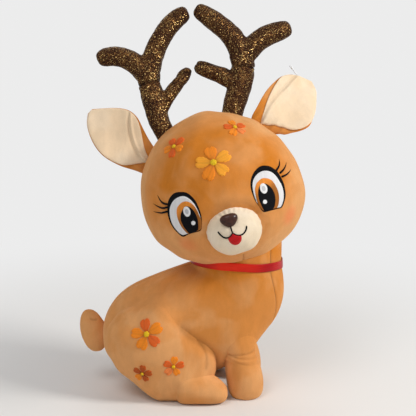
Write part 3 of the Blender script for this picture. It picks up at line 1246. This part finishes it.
def knot_grid(size):
    """The knot on a plane: a dome of sqrt(1 - share^2) with five low lobes, and its stitches."""
    share = np.linspace(0, 1, 14)[:, None]
    around = ring_turns(36)[None, :]
    radius = size * 0.185 * share * (1 + 0.05 * np.sin(5 * around))
    height = 0.0019 * np.sqrt(np.clip(1 - share**2, 0, 1)) + 0.0003 * np.sin(6 * around) * share
    height = np.where(share > 0.999, -0.0003, height + 0.0003)
    return radius * np.cos(around), radius * np.sin(around), height, radius + 0 * around, 1.0


def flower(name, target, spot, facing, up, size, turn, colours):
    """A flower on a piece: its petals and knot drawn on the plane at a spot, square to the facing
    direction, laid on the piece and raised along that direction."""
    facing = facing / np.linalg.norm(facing)
    side_way = np.cross(up, facing)
    side_way /= np.linalg.norm(side_way)
    up_way = np.cross(facing, side_way)
    sizes = (size * (1 + 0.05 * math.sin(2.4 * k + turn)) for k in range(5))
    grids = [petal_grid(petal, turn + k * math.tau / 5) for k, petal in enumerate(sizes)]
    parts = []
    for grid, finish in zip([*grids, knot_grid(size)], (*colours, YELLOW)):
        level, upright, height, stitch, shade = grid
        points = laid_on(target, spot + level[..., None] * side_way + upright[..., None] * up_way)
        points = points + facing * height[..., None]
        closed, inside = finish == YELLOW, spot - 0.02 * facing
        parts.append(sewn_mesh("petal", points, closed, inside, stitch=stitch, tone=shade))
        parts[-1].data.materials.append(finish)
    return joined(name, parts)


for label, across, up, size, turn, colours in HEAD_FLOWERS:
    place = np.array([across, face_depth(across, up), up])
    facing, up_way = HEAD_TURN @ (place / HEAD_BALL**2), HEAD_TURN @ np.array([0, 0, 1.0])
    name = "head_flower_stitched_" + label
    look = (size * FLOWER_RADIUS, math.radians(turn), colours)
    made = flower(name, head, from_head(place), facing, up_way, *look)
    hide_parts("head_flower_" + label)
    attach(made, "head")

near_thigh = bpy.data.objects["thigh_near"]
for label, along, up, size, turn, colours in THIGH_FLOWERS:
    spot = laid_on(near_thigh, np.array([[along, -0.070, up]]))[0]
    row = THIGHS[-1][np.abs(THIGHS[-1][:, 2] - up).argmin()]
    facing = np.array([spot[0] - row[0], spot[1] - row[1], up - 0.055]) / THIGH_BALL**2
    name = "thigh_flower_stitched_" + label
    look = (size * FLOWER_RADIUS, math.radians(turn), colours)
    made = flower(name, near_thigh, spot, facing, np.array([0, 0, 1.0]), *look)
    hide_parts("haunch_flower_" + label)
    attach(made, "torso")


# Antlers: stuffed tubes of dark brown cloth covered with gold glitter, set into the head. Each is
# a beam with a brow tine, and a two-ended fork sewn on at a seam half way up, puckered there.
# Points along each run, in millimetres across and up in the head's frame, and the half width.
ANTLER_RUNS = {
    "left": {
        "beam": (
            (-41, 72, 11.5), (-46, 90, 11.8), (-49.3, 106, 12.4), (-48.2, 122, 13.5),
            (-48.3, 137, 13.6), (-47.6, 146, 13.2), (-47.4, 152.0, 13.0),
        ),
        "tine": (
            (-48, 114, 9.5), (-37, 124, 8.6), (-24, 135.5, 8.0), (-12, 144.5, 7.8),
            (-1, 152.2, 7.3), (3.6, 155.3, 5.4),
        ),
        "outer": (
            (-46, 158, 12.8), (-51, 170, 13), (-58.5, 181, 12.6), (-67.5, 189.7, 12.0),
            (-78, 194.5, 12.0), (-88.5, 196.4, 11.6), (-96, 195.8, 9.4), (-99.3, 195.5, 6.2),
        ),
        "inner": (
            (-48.0, 150.2, 13.5), (-46.3, 160, 13.8), (-39, 175, 13.2), (-27.5, 191, 12.0),
            (-13, 206, 11.9), (1, 215.3, 11.9), (14.5, 220.3, 10.4), (20.2, 221.4, 7.2),
        ),
    },
    "right": {
        "beam": (
            (33, 80, 12.5), (40, 96, 13.0), (48.5, 108, 14.0), (57, 121.5, 14.2), (62.5, 132, 14.0),
            (65.1, 139.5, 13.9),
        ),
        "tine": (
            (51, 124, 10.5), (42, 133, 10.2), (33, 141.3, 9.8), (22, 149.3, 9.6),
            (14.8, 154.2, 9.0), (10.4, 156.8, 6.4),
        ),
        "outer": (
            (68, 149, 12.8), (79, 158.5, 13), (91, 165, 12.8), (104, 168.3, 12.6), (117, 169, 12),
            (127.5, 169.2, 10.4), (133, 169.2, 7.2),
        ),
        "inner": (
            (64.8, 136.9, 13.9), (67.8, 155, 14.2), (65.5, 173, 13.4), (57.2, 189, 12.4),
            (44.5, 206, 11.9), (34.4, 217.6, 10.2), (29.8, 223, 7.2),
        ),
    },
}
ANTLER_Y, ANTLER_FLATNESS, VOXEL = 0.005, 0.84, 0.0014
FOLD_DEPTH, SEAM_DENT, SEAM_DARK, SEAM_DARK_WIDTH = 0.00055, 0.0004, 0.45, 0.0016
FLAKES_PER_METRE, FLAKE_TILT, BRIGHT_ABOVE = 1750.0, 0.76, 0.88
DARK_BROWN, BROWN = (0.018, 0.007, 0.004, 1), (0.048, 0.018, 0.008, 1)
DARK_GOLD, DULL_GOLD = (0.046, 0.018, 0.006, 1), (0.220, 0.108, 0.034, 1)
BRIGHT_GOLD = (0.62, 0.41, 0.15, 1)


def vector_node(tree, operation, first, second=(0, 0, 0)):
    """One sum on one or two directions."""
    return node(tree, "VectorMath", {0: first, 1: second}, operation=operation).outputs[0]


def glitter_cloth():
    """Dark brown cloth with flakes of gold glitter glued on: small cells, of which about half are
    metal flakes with their own tilt and tone, a few of them bright, and the rest bare cloth."""
    material, tree, shader = new_material("glitter_cloth", {"Specular IOR Level": 0.08})
    place = own_place(tree)
    cells = node(tree, "TexVoronoi", {"Vector": place, "Scale": FLAKES_PER_METRE})
    parts = node(tree, "SeparateColor", {0: cells.outputs["Color"]}).outputs
    chance = ramp(tree, noise(tree, place, 60.0, 3.0, 0.6), 0.3, 0.7, 0.85, 0.50)
    flake = math_node(tree, "GREATER_THAN", parts[0], chance)
    dull = mixed(tree, parts[1], DARK_GOLD, DULL_GOLD)
    bright = math_node(tree, "GREATER_THAN", parts[2], BRIGHT_ABOVE)
    gold = mixed(tree, bright, dull, BRIGHT_GOLD)
    cloud = ramp(tree, noise(tree, place, 300.0, 2.0, 0.6), 0.3, 0.7)
    colour = mixed(tree, flake, mixed(tree, cloud, DARK_BROWN, BROWN), gold)
    colour = scaled(tree, colour, kept_share(tree, "tone"))
    tree.links.new(colour, shader.inputs["Base Color"])
    tree.links.new(flake, shader.inputs["Metallic"])
    tree.links.new(ramp(tree, flake, 0.0, 1.0, 0.75, 0.28), shader.inputs["Roughness"])
    fine = {"Strength": 0.6, "Distance": 0.0005, "Height": noise(tree, place, 1600.0, 1.0, 0.5)}
    bump = node(tree, "Bump", fine).outputs["Normal"]
    tilt = vector_node(tree, "SUBTRACT", cells.outputs["Color"], (0.5, 0.5, 0.5))
    tilt = scaled(tree, tilt, math_node(tree, "MULTIPLY", flake, FLAKE_TILT))
    leant = vector_node(tree, "NORMALIZE", vector_node(tree, "ADD", bump, tilt))
    tree.links.new(leant, shader.inputs["Normal"])
    return material


GLITTER = glitter_cloth()


def tube_rows(run, blunt=False):
    """Rings square to a run in the head's own upright plane, a sixth flatter front to back. A
    blunt end keeps its width right up to the seam."""
    run = np.array(run, float) / 1000
    if blunt:
        ahead = run[-1] - run[-2]
        ahead = np.array([ahead[0], ahead[1], 0]) / np.hypot(ahead[0], ahead[1])
        steps = np.array([-0.0028, -0.0014, -0.0005, 0.0006])[:, None]
        end = run[-1] + ahead * steps
        end[:, 2] *= (1, 1, 0.985, 0.80)
        run = np.vstack([run[:-1], end])
    ahead = np.gradient(run[:, :2], axis=0)
    ahead /= np.linalg.norm(ahead, axis=1)[:, None]
    across, up, half = run.T
    axes = (ahead[:, 1] * half, 0, -ahead[:, 0] * half, 0, half * ANTLER_FLATNESS, 0)
    return ring_rows(across, ANTLER_Y, up, *axes)


def waves(points, size, seed):
    """Soft noise as a sum of sine waves in scattered directions, from -1 to 1."""
    pick = np.random.default_rng(seed)
    total = 0 * points[..., 0]
    for _ in range(12):
        way = pick.normal(size=3)
        way /= np.linalg.norm(way)
        pitch = 2 * math.pi / (size * pick.uniform(0.7, 1.5))
        total += np.sin(points @ way * pitch + pick.uniform(0, 6))
    return total / 5


def sewn_tubes(name, *runs):
    """Tubes sewn into one another, made one skin by a voxel remesh and eased. Each run says
    whether its start or its end is blunt."""
    parts = []
    for run, blunt in runs:
        if blunt == "start":
            rows = tube_rows(run[::-1], True)[::-1]
        else:
            rows = tube_rows(run, blunt == "end")
        grid = rings(stuffed_form(rows, 70), ring_turns(48))
        parts.append(sewn_mesh("tube", from_head(grid), True, from_head(rows[len(rows) // 2, :3])))
    tubes = joined(name, parts)
    finish_with(tubes, "REMESH", mode="VOXEL", voxel_size=VOXEL)
    return finish_with(tubes, "SMOOTH", factor=0.5, iterations=6)


def in_head(place):
    """Points given in the head's own frame."""
    return (place - HEAD_PLACE) @ HEAD_TURN


def puckered(mesh, seam, ahead, grain):
    """Cloth wrinkles: short folds across the tube that die away from the seam, and small dents.
    The seam is darker, and the mesh keeps that tone with its points."""
    place, out_way = mesh_points(mesh, True)
    local = in_head(place)
    run = (local - seam) @ ahead
    around = np.arctan2(local[:, 1] - seam[1], (local - seam) @ np.array([ahead[2], 0, -ahead[0]]))
    folds = bell(run, 0.012) * np.sin(around * 9 + 2 * np.sin(run * 500)) * FOLD_DEPTH
    folds = folds - SEAM_DENT * bell(run, 0.0022)
    dents = 0.00026 * waves(local, 0.012, grain) + 0.00014 * waves(local, 0.005, grain + 1)
    move_points(mesh, place + out_way * (folds + dents)[:, None])
    run = (in_head(mesh_points(mesh)) - seam) @ ahead
    tone = (1 - SEAM_DARK * bell(run, SEAM_DARK_WIDTH)).astype(np.float32)
    held = mesh.attributes.get("tone") or mesh.attributes.new("tone", "FLOAT", "POINT")
    held.data.foreach_set("value", tone)


# Where the head's cloth stops moving an antler's foot, and where the antler moves freely: how far
# beside its beam's end, and how far up, in the head's frame.
ANTLER_FEET = {
    "left": ((0.004, 0.088), (0.002, 0.104)),
    "right": ((-0.012, 0.088), (-0.004, 0.104)),
}

for side, label in ((-1, "left"), (1, "right")):
    runs = ANTLER_RUNS[label]
    last = np.array(runs["beam"][-1]) / 1000
    ahead = last - np.array(runs["beam"][-2]) / 1000
    ahead = np.array([ahead[0], 0, ahead[1]]) / math.hypot(ahead[0], ahead[1])
    seam = np.array([last[0], ANTLER_Y, last[1]]) + ahead * 0.0006
    beam = sewn_tubes("antler_beam_cloth_" + label, (runs["beam"], "end"), (runs["tine"], None))
    fork = sewn_tubes("antler_fork_cloth_" + label, (runs["inner"], "start"), (runs["outer"], None))
    for k, (piece, part) in enumerate(((beam, "beam"), (fork, "fork"))):
        puckered(piece.data, seam, ahead, 3 + k + 2 * (side > 0))
        piece.data.materials.clear()
        piece.data.materials.append(GLITTER)
        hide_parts("antler_" + part + "_" + label)
    foot, top = (from_head((last[0] + beside, ANTLER_Y, up)) for beside, up in ANTLER_FEET[label])
    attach(fork, "antler_" + label)
    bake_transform(beam)

# Ears: a padded leaf of caramel velvet with a cream lining sewn into its front, cupped along its
# length, folded once beside the middle and gathered where it is sewn into the head.
# Root in shares of the head's size, direction in turns, and lean back in turns.
EARS = {
    "left": ((-0.385, 0.023, 0.318), 0.332, 0.011),
    "right": ((0.382, 0.023, 0.318), 0.098, 0.075),
}
# Rows along each ear: how far along, and its left and right edges there, in millimetres. A
# fold's rows are how far along and how far across.
EAR_OUTLINES = {
    "left": {
        "back": (
            (-9, -8, 15), (-2, -12, 18), (7, -15, 20), (18, -22, 22), (28, -25.5, 25),
            (38, -28.5, 28.5), (48, -30, 32.4), (60, -28.6, 32), (68, -26.2, 28), (76, -23, 22.2),
            (89, -15.6, 8.6), (95.5, -6, 1),
        ),
        "lining": (
            (3, 1, 6), (12, -10, 9.5), (18, -20, 12.5), (27, -24, 18.5), (36, -27.2, 25),
            (48, -29.2, 31.6), (60, -27.4, 31), (68, -25.1, 27), (76, -21.9, 21), (89, -14.7, 7.7),
            (94.7, -5, 0),
        ),
        "fold": ((3, 2), (8, 2.8), (20.4, 3.9), (37.8, 11.7), (52.4, 24.4), (60, 34)),
    },
    "right": {
        "back": (
            (-9, -24, -6), (-1.4, -27.6, 3.3), (7, -28.6, 16.5), (15, -30, 22), (24.6, -31.8, 30),
            (33, -32.8, 34.2), (42.4, -33.4, 33.6), (60, -32, 29), (70, -30.4, 24.4), (80, -24, 19),
            (88, -14, 14.5), (93, 1.6, 3.4),
        ),
        "lining": (
            (-3, -13.3, -12), (5, -16.5, -3.5), (10, -18.4, 4), (14.5, -20.3, 15), (18.5, -22, 24),
            (32.7, -26.5, 33.6), (48.6, -29.2, 32), (60, -30, 27.9), (66.6, -30, 24.9),
            (71.4, -27.7, 22.7), (78.6, -23.2, 18.3), (86.3, -13.4, 13.8), (92, 2.2, 2.6),
        ),
        "fold": ((-3, -12.6), (6.7, -13.5), (28.7, -17.8), (51.5, -15.6), (70.4, -14.6), (92, -14)),
    },
}
EAR_CUP, EAR_HALF, EAR_LENGTH, EAR_GATHER = 0.009, 0.032, 0.090, 0.0013


def ear_frame(label):
    """The ear's root, and its across, along and front directions in the head's frame."""
    root, direction, lean = EARS[label]
    turn, back = direction * math.tau, lean * math.tau
    along = np.array([math.cos(turn), 0, math.sin(turn)])
    leaned = along * math.cos(back) + np.array([0, 1, 0]) * math.sin(back)
    front = along * math.sin(back) - np.array([0, 1, 0]) * math.cos(back)
    axes = np.stack([np.cross(leaned, front), leaned, front])
    return np.array(root) * (HEAD_WIDTH, HEAD_DEPTH, HEAD_HEIGHT), axes


def ear_pad(table, lift, thick, fold_line, fold):
    """A thin closed pad on the cupped leaf: front and back sheets that meet at their rim. Both
    edges are splined from the table's millimetres along, left and right; the height over the
    ear's plane is 9 mm * (across / 32 mm)^2, less towards the tip, with a gathered root and one
    fold: a ridge beside a step down, along the fold line."""
    outline = spline(table, 500) / 1000
    low, high = outline[0, 0], outline[-1, 0]
    along = low + (high - low) * (0.5 - 0.5 * np.cos(np.linspace(0, math.pi, 120)))[:, None]
    left = np.interp(along, outline[:, 0], outline[:, 1])
    right = np.interp(along, outline[:, 0], outline[:, 2])
    share = np.sin(np.linspace(-math.pi / 2, math.pi / 2, 100))[None, :]
    level = (left + right) / 2 + (right - left) / 2 * share
    run = along + 0 * level
    tip = np.clip(along / EAR_LENGTH, 0, 1)
    base = EAR_CUP * (level / EAR_HALF) ** 2 * (1 - 0.5 * tip) + lift
    rim_end = np.clip(np.minimum(along - low, high - along) / 0.005, 0, 1) ** 0.4
    body = np.sqrt(np.clip(1 - share**4, 0, 1)) * rim_end
    root = np.clip(along, 0, 1)
    gather = EAR_GATHER * np.sin(level * 560 + 1.0) * bell(root, 0.015)
    soft = 0.0005 * np.sin(along * 122 + level * 95) + 0.0003 * np.sin(along * 205 - level * 160)
    path = spline(fold_line, 300) / 1000
    away = level - np.interp(along, path[:, 0], path[:, 1])
    step = bell(away + 0.0034, 0.0022)
    base = base + gather + soft + (fold * bell(away, 0.0022) - 1.2 * fold * step) * body
    grid = np.stack([level, run, base + body * thick], -1)
    under = np.stack([level, run, base], -1)
    under[:, [0, -1]] = grid[:, [0, -1]]
    shade = 1 - 0.10 * step * (fold > 0) - 0.16 * bell(root, 0.016)
    return np.concatenate([grid, under[:, -2:0:-1]], axis=1), np.hstack([shade, shade[:, -2:0:-1]])


LINING, BRUSHED_LINING = (0.840, 0.640, 0.430, 1), (0.890, 0.740, 0.560, 1)
LINING_VELVET = velvet("lining_velvet", LINING, BRUSHED_LINING, 26.0, 0.5, 0.25, (1, 0.95, 0.88, 1))
# Each layer's table and piece, its height over the leaf, its thickness, its fold's height, and
# its finish and the record's slot for it.
EAR_LAYERS = (
    ("back", -0.0035, 0.0035, 0.0, CARAMEL_VELVET, "caramel_velvet"),
    ("lining", 0.0003, 0.0024, 0.0013, LINING_VELVET, "cream_velvet"),
)

for label, tables in EAR_OUTLINES.items():
    root, axes = ear_frame(label)
    for layer, lift, thick, fold, finish, slot in EAR_LAYERS:
        grid, shade = ear_pad(tables[layer], lift, thick, tables["fold"], fold)
        grid = from_head(root + grid @ axes)
        name = "ear_" + layer + "_cloth_" + label
        ear = sewn_mesh(name, grid, True, grid.mean((0, 1)), tone=shade)
        ear.data.materials.append(finish)
        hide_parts("ear_" + layer + "_" + label)
        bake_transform(ear)

# Tag pin: the clear plastic barb that a shop tag hung from, shot through the right ear's edge. It
# is moulded in one piece, and only its head and a short end of its thread are left.
GREY_CLEAR, WHITE_CLEAR = (0.80, 0.82, 0.84, 1), (0.93, 0.94, 0.95, 1)
clear, tree, shader = new_material("clear_plastic", {"IOR": 1.49})
cloud = noise(tree, own_place(tree), 900.0, 2.0, 0.5)
tree.links.new(mixed(tree, cloud, GREY_CLEAR, WHITE_CLEAR), shader.inputs["Base Color"])
tree.links.new(ramp(tree, cloud, 0.3, 0.7, 0.16, 0.30), shader.inputs["Roughness"])
pin = bpy.data.objects["tag_pin"]
pin.data.materials.clear()
pin.data.materials.append(clear)

# Floor, soft lamps and camera: a pale sweep, a broad key from the right front, a fill from the
# left and an even sky, at a level at which colours come out about as written.
FLOOR_HALF, FLOOR_PALE, HORIZON_WHITE = 40, (0.78, 0.77, 0.75, 1), (0.84, 0.84, 0.84, 1)
span = np.linspace(-1, 1, 41) ** 3 * FLOOR_HALF
points = np.stack([*np.meshgrid(span, span, indexing="ij"), np.zeros((41, 41))], -1)
floor = sewn_mesh("floor", points, False, (0, 0, -1))
pale, tree, shader = new_material("pale_floor", {"Base Color": FLOOR_PALE, "Roughness": 0.9})
middle = {0: own_place(tree), 1: (0.02, 0, 0)}
gap = node(tree, "VectorMath", middle, operation="DISTANCE").outputs["Value"]
glow = node(tree, "Emission", {"Color": HORIZON_WHITE, "Strength": 1.0})


def seen_plainly(tree):
    """1 for rays from the camera and rays that a glossy surface reflects."""
    seen = node(tree, "LightPath").outputs
    return seen, math_node(tree, "MAXIMUM", seen["Is Camera Ray"], seen["Is Glossy Ray"])


far = math_node(tree, "MULTIPLY", ramp(tree, gap, 0.16, 0.75), seen_plainly(tree)[1])
joint = node(tree, "MixShader", {0: far, 1: shader.outputs[0], 2: glow.outputs[0]})
tree.links.new(joint.outputs[0], tree.nodes["Material Output"].inputs["Surface"])
floor.data.materials.append(pale)


def soft_lamp(name, place, target, size, watts, colour=(1, 1, 1)):
    """A square soft lamp at a place, turned to a target."""
    lamp = bpy.data.lights.new(name, "AREA")
    lamp.size, lamp.energy, lamp.color = size, watts, colour
    obj = bpy.data.objects.new(name, lamp)
    aim = Vector(target) - Vector(place)
    obj.location = place
    obj.rotation_euler = aim.to_track_quat("-Z", "Y").to_euler()
    bpy.context.scene.collection.objects.link(obj)


soft_lamp("key", (1.85, -0.66, 1.50), (0.05, 0, 0.20), 0.6, 36, (1.0, 0.98, 0.94))
soft_lamp("fill", (-0.65, -1.3, 2.2), (0.06, 0, 0.25), 0.9, 14, (0.99, 0.99, 1.0))
soft_lamp("back", (-0.4, 1.6, 1.5), (0.05, 0, 0.25), 1.2, 6)

world = bpy.data.worlds.new("studio")
bpy.context.scene.world = world
world.use_nodes = True
tree = world.node_tree
sky = tree.nodes["Background"]
sky.inputs["Color"].default_value = (0.84, 0.845, 0.86, 1)
seen, shown = seen_plainly(tree)
shown = math_node(tree, "MAXIMUM", shown, seen["Is Transmission Ray"])
tree.links.new(ramp(tree, shown, 0.0, 1.0, 0.46, 1.0), sky.inputs["Strength"])

# The camera stands 1.27 m in front and looks 13 degrees down, and sees the photograph's frame.
lens = bpy.data.cameras.new("camera")
lens.lens = 93.75
camera = bpy.data.objects.new("camera", lens)
camera.location = (0.055, -1.2667, 0.5184)
camera.rotation_euler = (math.radians(77), 0, 0)
bpy.context.scene.collection.objects.link(camera)
bpy.context.scene.camera = camera
bpy.context.scene.view_settings.view_transform = "Standard"
